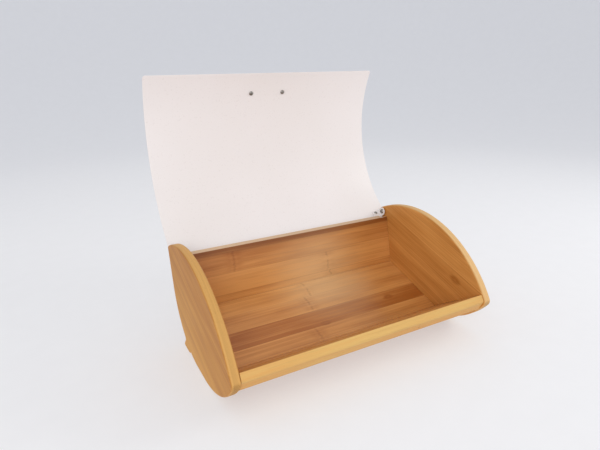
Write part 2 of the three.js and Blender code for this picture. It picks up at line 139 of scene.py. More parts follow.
def eased(corner, to_before, to_after, reach, count=6):
    """A corner softened over its reach, given the headings from it to its neighbours."""
    return soft_corner(corner + reach * to_before, corner, corner + reach * to_after, count)


def soft_polygon(corners):
    """The outline through (corner, reach) pairs, each corner softened over its reach."""
    points = []
    for i, (corner, reach) in enumerate(corners):
        to_previous = (corners[i - 1][0] - corner).normalized()
        to_following = (corners[(i + 1) % len(corners)][0] - corner).normalized()
        points.extend(eased(corner, to_previous, to_following, reach, 8))
    return points


def cross(a, b):
    return a.x * b.y - a.y * b.x


def crossing(a, heading_a, b, heading_b):
    return a + heading_a * (cross(b - a, heading_b) / cross(heading_a, heading_b))


def signed_area(outline):
    return sum(cross(outline[i - 1], outline[i]) for i in range(len(outline))) / 2


def inset(outline, distance):
    """The outline moved inwards by distance, with mitred corners."""
    turn = 1 if signed_area(outline) > 0 else -1
    moved = []
    for i, point in enumerate(outline):
        heading_in = (point - outline[i - 1]).normalized()
        heading_out = (outline[(i + 1) % len(outline)] - point).normalized()
        inward = (left_of(heading_in) + left_of(heading_out)).normalized() * turn
        stretch = max(0.5, inward.dot(left_of(heading_in)) * turn)
        moved.append(point + inward * (distance / stretch))
    return moved


# ---------------- mesh building


def in_space(x, point):
    """A section point or heading in the model's frame, at x."""
    return Vector((x, *point))


def across_width(a, b, c):
    """Places a (y, z) outline point at c along X."""
    return Vector((c, a, b))


def flat_pattern(a, b, c):
    """Places an outline point flat, with the thickness along Z."""
    return Vector((a, b, c))


def add_object(name, data):
    added = bpy.data.objects.new(name, data)
    bpy.context.scene.collection.objects.link(added)
    return added


def new_object(name, bm):
    bmesh.ops.remove_doubles(bm, verts=bm.verts, dist=1e-6)
    bmesh.ops.recalc_face_normals(bm, faces=bm.faces)
    mesh = bpy.data.meshes.new(name)
    bm.to_mesh(mesh)
    bm.free()
    return add_object(name, mesh)


def bridge(bm, first, second):
    for i in range(len(first)):
        bm.faces.new((first[i - 1], first[i], second[i], second[i - 1]))


def slab(name, outline, start, end, ease=0.0, place=across_width, steps=4):
    """Carries a closed outline from start to end, with its long edges rounded by ease."""
    profile = [(start, 0.0)]
    if ease > 0:
        turns = [direction(90 * i / steps) for i in range(steps + 1)]
        profile = [(start + ease * (1 - turn.x), ease * (1 - turn.y)) for turn in turns]
    profile.extend([(start + end - x, margin) for x, margin in profile[::-1]])
    bm = bmesh.new()
    loops = []
    for x, margin in profile:
        points = inset(outline, margin) if margin else outline
        loops.append([bm.verts.new(place(point.x, point.y, x)) for point in points])
    for first, second in zip(loops, loops[1:]):
        bridge(bm, first, second)
    bm.faces.new(loops[0])
    bm.faces.new(loops[-1][::-1])
    return new_object(name, bm)


def turned(name, profile, origin, heading, sides=40):
    """Turns a (radius, height) profile about a line; a radius of 0 is a point on the line."""
    bm = bmesh.new()
    turn = UP.rotation_difference(heading).to_matrix()
    rings = []
    for radius, height in profile:
        spokes = [radius * direction(360 * i / sides) for i in range(sides if radius > 0 else 1)]
        rings.append([bm.verts.new(origin + turn @ Vector((*spoke, height))) for spoke in spokes])
    for first, second in zip(rings, rings[1:]):
        if len(first) == len(second):
            bridge(bm, first, second)
        else:
            tip, ring = sorted((first, second), key=len)
            for i in range(sides):
                bm.faces.new((tip[0], ring[i - 1], ring[i]))
    return new_object(name, bm)


def round_bar(name, start, heading, length, radius):
    return turned(name, [(0, 0), (radius, 0), (radius, length), (0, length)], start, heading)


def apply_modifiers(piece):
    graph = bpy.context.evaluated_depsgraph_get()
    mesh = bpy.data.meshes.new_from_object(piece.evaluated_get(graph))
    piece.modifiers.clear()
    old = piece.data
    piece.data = mesh
    bpy.data.meshes.remove(old)


def cut(piece, *tools):
    """Takes the tools out of the piece and deletes them."""
    for tool in tools:
        modifier = piece.modifiers.new("cut", "BOOLEAN")
        modifier.operation = "DIFFERENCE"
        modifier.solver = "EXACT"
        modifier.object = tool
    apply_modifiers(piece)
    for tool in tools:
        mesh = tool.data
        bpy.data.objects.remove(tool)
        bpy.data.meshes.remove(mesh)


def bend(piece, lines, place):
    """Splits a flat pattern along the lines b = constant, then moves every point by place(a, b, c)."""
    bm = bmesh.new()
    bm.from_mesh(piece.data)
    for line in lines:
        geometry = bm.verts[:] + bm.edges[:] + bm.faces[:]
        bmesh.ops.bisect_plane(bm, geom=geometry, plane_co=(0, line, 0), plane_no=(0, 1, 0), dist=1e-6)
    for vertex in bm.verts:
        vertex.co = place(*vertex.co)
    bmesh.ops.recalc_face_normals(bm, faces=bm.faces)
    bm.to_mesh(piece.data)
    bm.free()
    return piece


def swing_open(piece):
    """Turns a piece drawn on the closed lid to where it stands with the lid open."""
    there = Matrix.Translation(in_space(0, PIVOT))
    piece.data.transform(there @ Matrix.Rotation(-OPEN_ANGLE, 4, "X") @ there.inverted())
    return piece


def mirrored_copy(piece, name):
    copy = add_object(name, piece.data.copy())
    copy.data.name = name
    copy.data.transform(Matrix.Scale(-1, 4, ALONG_X))
    copy.data.flip_normals()
    return copy


def finish(piece, material, body, node):
    """Gives a piece its shading, material and body, and hides the CAD node that it stands for."""
    sharp_angle = 34
    piece.data.shade_smooth()
    piece.data.set_sharp_from_angle(angle=math.radians(sharp_angle))
    weighted = piece.modifiers.new("weighted", "WEIGHTED_NORMAL")
    weighted.keep_sharp = True
    apply_modifiers(piece)
    piece.data.materials.clear()
    piece.data.materials.append(material)
    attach(piece, body)
    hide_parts(node)


# ---------------- materials


def srgb(text):
    """A #rrggbb colour as linear values."""
    channels = [int(text[i : i + 2], 16) / 255 for i in (1, 3, 5)]
    return [c / 12.92 if c <= 0.04045 else ((c + 0.055) / 1.055) ** 2.4 for c in channels] + [1.0]


class Graph:
    """A material's node tree, built from short calls."""

    def __init__(self, name):
        self.material = bpy.data.materials.new(name)
        self.material.use_nodes = True
        self.nodes = self.material.node_tree.nodes
        self.shader = self.nodes["Principled BSDF"]
        places = self.add("ShaderNodeTexCoord")
        self.place = places.outputs["Object"]
        self.normal = places.outputs["Normal"]

    def add(self, kind, **settings):
        node = self.nodes.new(kind)
        for name, value in settings.items():
            setattr(node, name, value)
        return node

    def put(self, value, socket):
        if isinstance(value, bpy.types.NodeSocket):
            self.material.node_tree.links.new(value, socket)
        else:
            socket.default_value = value

    def math(self, operation, first, second=0.0, third=0.0, clamp=False):
        node = self.add("ShaderNodeMath", operation=operation, use_clamp=clamp)
        for socket, value in zip(node.inputs, (first, second, third)):
            self.put(value, socket)
        return node.outputs[0]

    def times(self, first, second):
        return self.math("MULTIPLY", first, second)

    def minus(self, first, second):
        return self.math("SUBTRACT", first, second)

    def magnitude(self, value):
        return self.math("ABSOLUTE", value)

    def shade(self, name, value):
        self.put(value, self.shader.inputs[name])

    def total(self, start, *terms, clamp=False):
        """start and every (value, weight) of the terms, added up."""
        for i, (value, weight) in enumerate(terms):
            last = i == len(terms) - 1
            start = self.math("MULTIPLY_ADD", value, weight, start, clamp=clamp and last)
        return start

    def dot(self, vector, constant):
        node = self.add("ShaderNodeVectorMath", operation="DOT_PRODUCT")
        self.put(vector, node.inputs[0])
        node.inputs[1].default_value = constant
        return node.outputs["Value"]

    def vector(self, x, y, z):
        node = self.add("ShaderNodeCombineXYZ")
        for socket, value in zip(node.inputs, (x, y, z)):
            self.put(value, socket)
        return node.outputs[0]

    def noise(self, vector, scale=1.0, detail=2.0, roughness=0.5, distortion=0.0):
        node = self.add("ShaderNodeTexNoise")
        self.put(vector, node.inputs["Vector"])
        node.inputs["Scale"].default_value = scale
        node.inputs["Detail"].default_value = detail
        node.inputs["Roughness"].default_value = roughness
        node.inputs["Distortion"].default_value = distortion
        return node.outputs[0]

    def fade(self, value, start, end):
        """0 at start and 1 at end, smoothly."""
        node = self.add("ShaderNodeMapRange", interpolation_type="SMOOTHSTEP")
        self.put(value, node.inputs["Value"])
        node.inputs["From Min"].default_value = start
        node.inputs["From Max"].default_value = end
        return node.outputs[0]

    def mix(self, factor, first, second):
        node = self.add("ShaderNodeMix", data_type="RGBA")
        self.put(factor, node.inputs["Factor"])
        colours = [socket for socket in node.inputs if socket.type == "RGBA"]
        self.put(first, colours[0])
        self.put(second, colours[1])
        return next(socket for socket in node.outputs if socket.type == "RGBA")

    def steps(self, value, colours):
        """The channels of one colour, picked by value, which counts 0 to 1 over the whole list."""
        node = self.add("ShaderNodeValToRGB")
        ramp = node.color_ramp
        ramp.interpolation = "CONSTANT"
        while len(ramp.elements) < len(colours):
            ramp.elements.new(0.5)
        for i, colour in enumerate(colours):
            ramp.elements[i].position = i / len(colours)
            ramp.elements[i].color = (*colour, 1.0)
        self.put(value, node.inputs[0])
        split = self.add("ShaderNodeSeparateColor")
        self.put(node.outputs[0], split.inputs[0])
        return split.outputs

    def bump(self, height, strength, distance):
        node = self.add("ShaderNodeBump")
        node.inputs["Strength"].default_value = strength
        node.inputs["Distance"].default_value = distance
        self.put(height, node.inputs["Height"])
        self.shade("Normal", node.outputs[0])


LIGHT_BAMBOO = srgb("#deb46c")
MID_BAMBOO = srgb("#d99a55")
DARK_BAMBOO = srgb("#a66124")
GOLD_BAMBOO = srgb("#d99f4f")
AMBER_BAMBOO = srgb("#b57431")
# The colour of the painted highlight on the boards.
HIGHLIGHT_BAMBOO = srgb("#f2d6a6")
BRIGHT_BAMBOO = srgb("#e2a45a")
RIM_BAMBOO = srgb("#d9a55e")
SAWN_BAMBOO = srgb("#dcbb96")
# The right panel's rim colour, paler than the left's: painted highlight from light falling on it from
# behind and above.
PAINTED_HIGHLIGHT_RIM = srgb("#e4b87c")
MARK_AND_SHADOW_BROWN = srgb("#5a3216")


class Strips:
    """How a bamboo board is glued up: the grain's heading, the way across the strips, where the
    first seam runs, and each strip's tone (about 0 dark to 1 light) and the place of its knuckle.
    The knots are (along, across, size)."""

    def __init__(self, grain, across, start, tones, knuckles, spacing=0.24, knots=()):
        self.grain = Vector(grain).normalized()
        self.across = Vector(across).normalized()
        self.through = self.grain.cross(self.across)
        self.start = start
        self.tones = tones
        self.knuckles = knuckles
        self.spacing = spacing
        self.knots = knots


class Bamboo(Graph):
    """A board's material: where a point lies among its strips, and what its figure is made of."""

    def __init__(self, name, strips, seed):
        super().__init__(name)
        self.strips = strips
        self.seed = seed
        self.u = self.dot(self.place, strips.grain)
        self.v = self.dot(self.place, strips.across)
        self.w = self.dot(self.place, strips.through)
        across = self.math("DIVIDE", self.minus(self.v, strips.start), STRIP_WIDTH)
        self.index = self.math("FLOOR", across)
        self.within = self.math("FRACT", across)
        self.read_strips()
        shift_between_strips = 7.31
        self.own_u = self.total(self.u, (self.index, shift_between_strips))
        self.cloud = self.noise(self.vector(self.times(self.own_u, 7), self.times(self.v, 60), seed))
        self.streak = self.drawn_out(6, 420, detail=3, distortion=0.15)
        self.fibre = self.drawn_out(22, 1700)

    def read_strips(self):
        """Each strip's own tone and the place of its knuckle."""
        half = self.strips.spacing / 2
        pairs = zip(self.strips.tones, self.strips.knuckles)
        rows = [(tone, (spot + half) / (2 * half), 0.0) for tone, spot in pairs]
        picked = self.steps(self.math("DIVIDE", self.math("ADD", self.index, 0.5), len(rows)), rows)
        self.tone = picked[0]
        self.knuckle = self.math("MULTIPLY_ADD", picked[1], 2 * half, -half)

    def drawn_out(self, along, across, **settings):
        """Noise drawn out along the grain; along and across are its fineness per metre."""
        x = self.times(self.own_u, along)
        y = self.times(self.v, across)
        z = self.math("MULTIPLY_ADD", self.w, across, self.seed)
        return self.noise(self.vector(x, y, z), **settings)

    def swing(self, noise):
        """The noise about zero."""
        return self.minus(noise, 0.5)

    def knuckles(self):
        """The dark line across each strip, the raised ridge beside it and the pale smear about it."""
        wander = 0.008
        wobble = self.noise(self.vector(self.times(self.v, 260), self.index, self.seed), detail=1)
        broken_at = self.vector(self.index, self.times(self.v, 120), self.seed)
        broken = self.fade(self.noise(broken_at, detail=1), 0.34, 0.60)
        bow = self.math("POWER", self.swing(self.within), 2)
        away = self.minus(self.u, self.knuckle)
        away = self.total(away, (bow, wander), (self.swing(wobble), wander))
        away = self.math("PINGPONG", away, self.strips.spacing / 2)
        line = self.times(self.fade(away, 0.0022, 0.0003), broken)
        ridge = self.fade(self.magnitude(self.minus(away, 0.004)), 0.003, 0.0003)
        smear = self.times(self.fade(away, 0.020, 0.001), self.fade(self.streak, 0.40, 0.60))
        smear = self.times(smear, self.fade(broken, 0.0, 0.8))
        return line, ridge, smear

    def seams(self):
        """The glue line between two strips, and the paler wood just past it."""
        from_other_edge = self.minus(1.0, self.within)
        nearest = self.times(self.math("MINIMUM", self.within, from_other_edge), STRIP_WIDTH)
        past = self.times(self.within, STRIP_WIDTH)
        return self.fade(nearest, 0.00045, 0.0001), self.fade(past, 0.0034, 0.0006)

    def knot_rings(self):
        """1 on the dark rings of the knots, which are stretched along the grain."""
        ragged = self.total(0.0, (self.swing(self.streak), 1.2))
        rings = 0.0
        for place_u, place_v, size in self.strips.knots:
            along = self.math("DIVIDE", self.minus(self.u, place_u), 2 * size)
            across = self.math("DIVIDE", self.minus(self.v, place_v), size)
            squared = self.math("MULTIPLY_ADD", along, along, self.times(across, across))
            reach = self.math("ADD", self.math("SQRT", squared), ragged)
            from_ring = self.magnitude(self.minus(reach, 0.5))
            rings = self.math("ADD", rings, self.fade(from_ring, 0.8, 0.05))
        return rings

    def painted_highlight(self, middle):
        """How much painted highlight pales the wood about its middle: the lid's soft reflection in the
        lacquer.
        """
        reach = self.add("ShaderNodeVectorMath", operation="DISTANCE")
        self.put(self.place, reach.inputs[0])
        reach.inputs[1].default_value = middle
        ragged = self.total(reach.outputs["Value"], (self.swing(self.streak), 0.05))
        return self.times(self.fade(ragged, 0.115, 0.0), 0.42)

    def sawn_edge(self, rim):
        """The sawn edges' colour, with the faint layers of the strips."""
        layers = self.noise(self.vector(self.times(self.u, 3), 0.0, self.times(self.w, 260)))
        dark = [channel * 0.86 for channel in rim[:3]] + [1.0]
        return self.mix(self.fade(layers, 0.30, 0.62), dark, rim)

    def end_grain(self):
        """1 on the faces across the grain, and the same broken up into pores."""
        fineness = 1500
        end = self.fade(self.magnitude(self.dot(self.normal, self.strips.grain)), 0.75, 0.98)
        y = self.times(self.v, fineness)
        z = self.times(self.w, fineness)
        pores = self.noise(self.vector(y, z, self.seed), detail=1)
        return end, self.times(end, self.fade(pores, 0.50, 0.62))


def bamboo(name, strips, light, dark, seed, rim=None, rim_axis=ALONG_X, gloss=0.0, patch=None,
           shaded_heading=None, painted_shadow_span=None):
    """Lacquered bamboo strips with fibres, knuckles and glue seams. rim is the colour of the sawn
    edges, patch the middle of a painted highlight that stands in for the lid's reflection,
    shaded_heading the heading that faces with painted shade look along, and painted_shadow_span
    where a band of painted shadow starts and is darkest, across the strips."""
    graph = Bamboo(name, strips, seed)
    line, ridge, smear = graph.knuckles()
    seam, beside_seam = graph.seams()
    rings = graph.knot_rings()
    lightness = graph.total(
        graph.tone,
        (graph.swing(graph.cloud), 1.3),
        (graph.swing(graph.streak), 1.1),
        (graph.swing(graph.fibre), 0.45),
        (beside_seam, 0.16),
        (smear, -0.40),
        (rings, -0.40),
        (ridge, 0.08),
        clamp=True,
    )
    colour = graph.mix(lightness, dark, light)
    # Painted highlight: the wood pales about patch, standing in for the lid's reflection in the lacquer.
    if patch is not None:
        colour = graph.mix(graph.painted_highlight(patch), colour, HIGHLIGHT_BAMBOO)

    on_rim = 0.0
    if rim is not None:
        on_rim = graph.fade(graph.magnitude(graph.dot(graph.normal, rim_axis)), 0.93, 0.35)
        colour = graph.mix(on_rim, colour, graph.sawn_edge(rim))
    on_face = graph.minus(1.0, on_rim)
    line = graph.times(line, on_face)
    seam = graph.times(seam, graph.total(1.0, (on_rim, -0.85)))
    # Painted shade: faces that look along the given heading are darkened towards the dark bamboo.
    if shaded_heading is not None:
        painted_shade = graph.times(graph.fade(graph.dot(graph.normal, shaded_heading), 0.85, 0.99), 0.85)
        colour = graph.mix(painted_shade, colour, graph.mix(lightness, DARK_BAMBOO, MID_BAMBOO))
    # Painted shadow: a dark band across the strips, darkest at its end, standing in for the shade under the
    # lid's edge.
    painted_shadow = 0.0
    if painted_shadow_span is not None:
        painted_shadow = graph.fade(graph.total(graph.v, (graph.streak, 0.004)), *painted_shadow_span)
        painted_shadow = graph.times(painted_shadow, on_face)

    end, pored = graph.end_grain()
    # Marks and painted shadow together darken the wood towards a dark brown.
    marks_and_painted_shadow = graph.total(
        0.0,
        (graph.fade(graph.fibre, 0.57, 0.70), 0.14),
        (rings, 0.10),
        (line, 0.20),
        (seam, 0.22),
        (painted_shadow, 0.45),
        (pored, 0.35),
        (end, 0.18),
        clamp=True,
    )
    graph.shade("Base Color", graph.mix(marks_and_painted_shadow, colour, MARK_AND_SHADOW_BROWN))
    graph.shade("Roughness", graph.total(0.42, (graph.streak, 0.22), (end, 0.2)))
    graph.shade("Specular IOR Level", 0.2)
    graph.shade("Coat Weight", gloss)
    graph.shade("Coat Roughness", 0.28)
    height = graph.total(
        0.0, (graph.streak, 0.5), (graph.fibre, 0.35), (seam, -0.8), (line, -0.6), (ridge, 0.4)
    )
    graph.bump(height, 0.22, 0.00025)
    return graph.material


def white_enamel():
    """A satin powder coat: a faint orange peel, a little uneven in tone and gloss."""
    graph = Graph("white_enamel")
    cloud = graph.noise(graph.place, scale=5)
    peel = graph.noise(graph.place, scale=900, roughness=0.6)
    speck = graph.fade(graph.noise(graph.place, scale=420, detail=0), 0.70, 0.76)
    colour = graph.mix(graph.fade(cloud, 0.3, 0.7), srgb("#efe8e4"), srgb("#f2ebe8"))
    colour = graph.mix(graph.times(speck, 0.10), colour, srgb("#b9aaa2"))
    graph.shade("Base Color", colour)
    graph.shade("Roughness", graph.total(0.34, (cloud, 0.16)))
    graph.shade("Coat Weight", 0.08)
    graph.shade("Coat Roughness", 0.3)
    graph.bump(peel, 0.10, 0.00012)
    return graph.material


def steel(name, colour, wear):
    """Plated steel with a fine grit and darker, rougher patches; wear is how far they spread."""
    graph = Graph(name)
    patch = graph.noise(graph.place, scale=260, detail=3)
    grit = graph.noise(graph.place, scale=2600)
    dark = [channel * 0.55 for channel in colour[:3]] + [1.0]
    worn = graph.fade(patch, 0.65 - 0.2 * wear, 0.40)
    graph.shade("Base Color", graph.mix(worn, dark, colour))
    graph.shade("Roughness", graph.total(0.18, (patch, 0.25), (grit, 0.12)))
    graph.shade("Metallic", 1.0)
    graph.bump(grit, 0.15, 0.00004)
    return graph.material


def dowel_wood():
    """Turned hardwood with short pores along X."""
    graph = Graph("dowel_wood")
    along = graph.dot(graph.place, (60, 0, 0))
    across = [graph.dot(graph.place, axis) for axis in ((0, 1400, 0), (0, 0, 1400))]
    pores = graph.noise(graph.vector(along, *across))
    graph.shade("Base Color", graph.mix(graph.fade(pores, 0.35, 0.65), srgb("#b98c58"), srgb("#dcb884")))
    graph.shade("Roughness", graph.total(0.55, (pores, 0.2)))
    graph.bump(pores, 0.2, 0.0001)
    return graph.material


# ---------------- how the boards lean and their strips run

BACK_HEADING = direction(90 - BACK_BOARD_LEAN)
FLOOR_HEADING = (INSIDE_CORNER - FLOOR_FRONT).normalized()
FRONT_HEADING = (RAIL_TOP - FLOOR_FRONT).normalized()
BACK_OUTWARD = -left_of(BACK_HEADING)
FLOOR_OUTWARD = -left_of(FLOOR_HEADING)
FRONT_OUTWARD = left_of(FRONT_HEADING)
RAIL_REAR = RAIL_TOP - RAIL_DEPTH * FRONT_HEADING

BACK_SLOPE = in_space(0, BACK_HEADING)
FLOOR_SLOPE = in_space(0, -FLOOR_HEADING)
FRONT_SLOPE = in_space(0, FRONT_HEADING)
PANEL_GRAIN_TILT = 18
PANEL_GRAIN = in_space(0, direction(PANEL_GRAIN_TILT))
PANEL_ACROSS = in_space(0, left_of(direction(PANEL_GRAIN_TILT)))


def along_slope(point, slope):
    return in_space(0, point).dot(slope)


def floor_strips():
    corner = along_slope(INSIDE_CORNER, FLOOR_SLOPE)
    tones = (0.5, 0.80, 0.60, 0.14, 0.60, 0.3)
    knuckles = (0.03, 0.004, -0.008, 0.3, -0.024, 0.05)
    knots = ((0.123, corner + 0.077, 0.005), (-0.004, corner + 0.0925, 0.004))
    return Strips(ALONG_X, FLOOR_SLOPE, corner + 0.001 - STRIP_WIDTH, tones, knuckles, 0.7, knots)


def back_strips():
    start = along_slope(INSIDE_CORNER, BACK_SLOPE) + 0.0106 - STRIP_WIDTH
    # The top strip's tone of -0.1 is painted shade under the lid's edge.
    return Strips(ALONG_X, BACK_SLOPE, start, (0.66, 0.92, 0.48, -0.1), (0.06, 0.056, -0.106, 0.3), 0.7)


def front_strips():
    start = along_slope(FLOOR_FRONT, FRONT_SLOPE) - 0.012
    return Strips(ALONG_X, FRONT_SLOPE, start, (0.4, 0.6, 0.5, 0.7), (0.01, -0.07, 0.09, 0.0))


def rail_strips():
    start = along_slope(RAIL_TOP, FRONT_SLOPE) - 2 * STRIP_WIDTH - 0.004
    return Strips(ALONG_X, FRONT_SLOPE, start, (0.4, 0.5, 0.78, 0.7), (-0.02, 0.07, -0.28, 0.3), 0.7)


def panel_strips(tones, knots=()):
    """The panels' broad strips, which run along the lens."""
    start = along_slope(section(0, 0), PANEL_ACROSS) - 2 * STRIP_WIDTH + 0.01
    knuckles = [0.3] * len(tones)
    return Strips(PANEL_GRAIN, PANEL_ACROSS, start, tones, knuckles, 0.7, knots)


RIGHT_KNOT_PLACE = Vector((0, -0.1088, 0.0712))
RIGHT_KNOT = (RIGHT_KNOT_PLACE.dot(PANEL_GRAIN), RIGHT_KNOT_PLACE.dot(PANEL_ACROSS), 0.0055)


def handle_strips():
    return Strips(ALONG_X, (0, 1, 0), 0.0, (0.7, 0.75, 0.7, 0.72, 0.7, 0.74), (0.3,) * 6, 0.7)


# ---------------- side panels


def panel_outline():
    """The lens: a round crown, a curved front, a flat, a heel and a leaning back edge."""
    front_centre = section(-0.025, 0.135)
    front_radius = 0.135
    back_centre = section(0.005, 0.100)
    back_radius = 0.100
    back_lean = 11
    back_ease = 0.004
    front_ease = 0.005
    heel_start = 289
    heel_end = 303
    heel_flat_front = section(0.045, 0)
    heel_flat_back = section(0.066, 0)
    heel_bulge = 0.0045
    heel_back_height = 0.0055

    front_tip = on_crown(CROWN_FRONT)
    front_angle = degrees_of(front_tip - front_centre)
    front_swing = math.degrees(front_ease / front_radius)
    crown_front_swing = math.degrees(front_ease / CROWN_RADIUS)
    back_tip = on_crown(CROWN_BACK)
    back_swing = math.degrees(back_ease / CROWN_RADIUS)

    heel_root = polar(back_centre, back_radius, heel_start)
    heel_top = polar(back_centre, back_radius, heel_end)
    hollow = Vector(((heel_root.x + heel_flat_front.x) / 2 + 0.001, heel_root.y / 4))
    back_corner = heel_flat_back + Vector((heel_bulge, 0))
    back_end = heel_flat_back + Vector((heel_bulge - 0.0014, heel_back_height))
    return [
        *arc(front_centre, front_radius, front_angle + front_swing, 270),
        *arc(back_centre, back_radius, 270, heel_start)[:-1],
        *soft_corner(heel_root, hollow, heel_flat_front),
        *soft_corner(heel_flat_back, back_corner, back_end),
        *soft_corner(
            heel_top + 0.25 * (back_end - heel_top),
            heel_top,
            polar(back_centre, back_radius, heel_end + 2.5),
        ),
        *arc(back_centre, back_radius, heel_end + 3.5, 360 - back_lean),
        *soft_corner(
            back_tip - back_ease * direction(90 - back_lean),
            back_tip,
            on_crown(CROWN_BACK + back_swing),
        ),
        *arc(
            CROWN_CENTRE, CROWN_RADIUS, CROWN_BACK + 1.6 * back_swing, CROWN_FRONT - 1.6 * crown_front_swing
        ),
        *soft_corner(
            on_crown(CROWN_FRONT - crown_front_swing),
            front_tip,
            polar(front_centre, front_radius, front_angle + front_swing),
        )[:-1],
    ]


def groove_tools():
    """What the boards' grooves take out of the right panel: each board's section, grown by the gap."""
    sections = (floor_section(), back_section(), front_section())
    return [
        slab("groove", inset(outline, -GAP), INNER_X - 0.002, BOARD_END_X + GAP) for outline in sections
    ]


def hole_tool(x, point, length, radius):
    return round_bar("hole", in_space(x, point), ALONG_X, length, radius)


def dowel_holes(grow):
    tools = []
    for node in ("right_upper_rail_dowel", "right_lower_rail_dowel"):
        low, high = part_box(node)
        centre = (low + high) / 2
        radius = (high.z - low.z) / 2 + grow
        tools.append(hole_tool(low.x - grow, (centre.y, centre.z), high.x - low.x + 2 * grow, radius))
    return tools


def pivot_hole():
    reach = 0.006
    screw_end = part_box("right_pivot_screw")[1].x
    return hole_tool(INNER_X - reach, PIVOT, screw_end - INNER_X + reach + GAP, SCREW_SHANK + GAP)


def side_panels(left_material, right_material):
    edge_round = 0.0024
    panel = slab("right_panel_board", panel_outline(), INNER_X, OUTER_X, edge_round, steps=5)
    cut(panel, *groove_tools(), *dowel_holes(GAP), pivot_hole())
    left = mirrored_copy(panel, "left_panel_board")
    finish(panel, right_material, "body", "right_side_panel")
    finish(left, left_material, "body", "left_side_panel")


# ---------------- boards and rail


def mitre(inside, heading, outward):
    """Where the underside of the floor crosses that of the board which meets it at inside."""
    on_floor = inside + BOARD_THICKNESS * FLOOR_OUTWARD
    on_board = inside + BOARD_THICKNESS * outward
    return crossing(on_floor, FLOOR_HEADING, on_board, heading)


BACK_MITRE = mitre(INSIDE_CORNER, BACK_HEADING, BACK_OUTWARD)
FRONT_MITRE = mitre(FLOOR_FRONT, FRONT_HEADING, FRONT_OUTWARD)


def floor_section():
    shift = BOARD_JOINT * FLOOR_HEADING
    return [FLOOR_FRONT + shift, FRONT_MITRE + shift, BACK_MITRE - shift, INSIDE_CORNER - shift]


def back_top():
    """The back board's top inside edge."""
    length = (BACK_BOARD_TOP - INSIDE_CORNER.y) / BACK_HEADING.y
    return INSIDE_CORNER + length * BACK_HEADING


def back_section(rise=0.0):
    """The board's outline, whose sawn top climbs by rise towards the back."""
    top = back_top()
    outer_top = top + BOARD_THICKNESS * BACK_OUTWARD + rise * BACK_HEADING
    across_top = (outer_top - top).normalized()
    round_over = 0.0006
    shift = BOARD_JOINT * BACK_HEADING
    return [
        INSIDE_CORNER + shift,
        BACK_MITRE + shift,
        *eased(outer_top, -BACK_HEADING, -across_top, round_over),
        *eased(top, across_top, -BACK_HEADING, round_over),
    ]


def ear_notches():
    """What the hinge ears and the panels' grooves take off the ends of the back board's top."""
    inner_x = 0.1725
    reach = 0.002
    start = back_top() - reach * BACK_OUTWARD + 0.0001 * BACK_HEADING
    across = (BOARD_THICKNESS + 2 * reach) * BACK_OUTWARD
    up = (BACK_TOP_RISE + reach) * BACK_HEADING
    outline = [start, start + across, start + across + up, start + up]
    notch = slab("notch", outline, inner_x, BOARD_END_X + reach)
    return [notch, mirrored_copy(notch, "notch")]


def front_section():
    shift = GAP * FRONT_HEADING
    start = RAIL_REAR - shift
    return [start, start + BOARD_THICKNESS * FRONT_OUTWARD, FRONT_MITRE + shift, FLOOR_FRONT + shift]


def rail_section():
    """The lid's seat, a short nose and a flat underside parallel to the inside face."""
    seat_radius = CROWN_RADIUS - SEAT_DROP
    seat_start = degrees_of(RAIL_TOP - CROWN_CENTRE)
    seat_end_angle = 151.3
    nose_set_back = 0.0162
    ease = 0.0028
    top_ease = 0.0006

    def on_seat(degrees):
        return polar(CROWN_CENTRE, seat_radius, degrees)

    top = on_seat(seat_start)
    seat_end = on_seat(seat_end_angle)
    nose = RAIL_TOP + RAIL_THICKNESS * FRONT_OUTWARD - nose_set_back * FRONT_HEADING
    nose_heading = (nose - seat_end).normalized()
    under_end = RAIL_REAR + RAIL_THICKNESS * FRONT_OUTWARD
    swing = math.degrees(ease / seat_radius)
    top_swing = math.degrees(top_ease / seat_radius)
    return [
        *soft_corner(top - top_ease * FRONT_HEADING, top, on_seat(seat_start + top_swing)),
        *arc(CROWN_CENTRE, seat_radius, seat_start + 2 * top_swing, seat_end_angle - 2 * swing, 0.5),
        *soft_corner(on_seat(seat_end_angle - swing), seat_end, seat_end + ease * nose_heading),
        *eased(nose, -nose_heading, -FRONT_HEADING, ease),
        *eased(under_end, FRONT_HEADING, -FRONT_OUTWARD, ease),
        RAIL_REAR,
    ]


def board(name, node, outline, strips, seed, painted_shadow_span=None, notches=()):
    # The middle of the boards' painted highlight, which stands in for the lid's soft reflection.
    patch = (0.035, INSIDE_CORNER.x, INSIDE_CORNER.y)
    piece = slab(name, outline, -BOARD_END_X, BOARD_END_X)
    if notches:
        cut(piece, *notches)
    material = bamboo(
        name + "_bamboo", strips, MID_BAMBOO, DARK_BAMBOO, seed,
        rim=SAWN_BAMBOO, rim_axis=strips.through, gloss=0.7, patch=patch, painted_shadow_span=painted_shadow_span,
    )
    finish(piece, material, "body", node)


def boards():
    """The floor, the back with painted shadow along its top edge under the lid, and the front under the
    rail.
    """
    top = along_slope(back_top(), BACK_SLOPE)
    # Painted shadow over the back board's top 12 mm, under the lid's edge.
    top_shadow_span = (top - 0.012, top)
    back_outline = back_section(BACK_TOP_RISE)
    board("floor_planks", "floor_board", floor_section(), floor_strips(), 3.0)
    board("back_planks", "back_board", back_outline, back_strips(), 11.0, top_shadow_span, ear_notches())
    board("front_planks", "front_board", front_section(), front_strips(), 17.0)


def front_rail():
    rail = slab("front_rail_bar", rail_section(), -RAIL_END_X, RAIL_END_X, 0.0003, steps=2)
    holes = dowel_holes(GAP)
    left_holes = [mirrored_copy(hole, "hole") for hole in holes]
    cut(rail, *holes, *left_holes)
    # Painted shade on the rail's inner face, which looks into the box.
    inward = in_space(0, -FRONT_OUTWARD)
    material = bamboo("front_rail_bamboo", rail_strips(), LIGHT_BAMBOO, MID_BAMBOO, 23.0, shaded_heading=inward)
    finish(rail, material, "body", "front_rail")


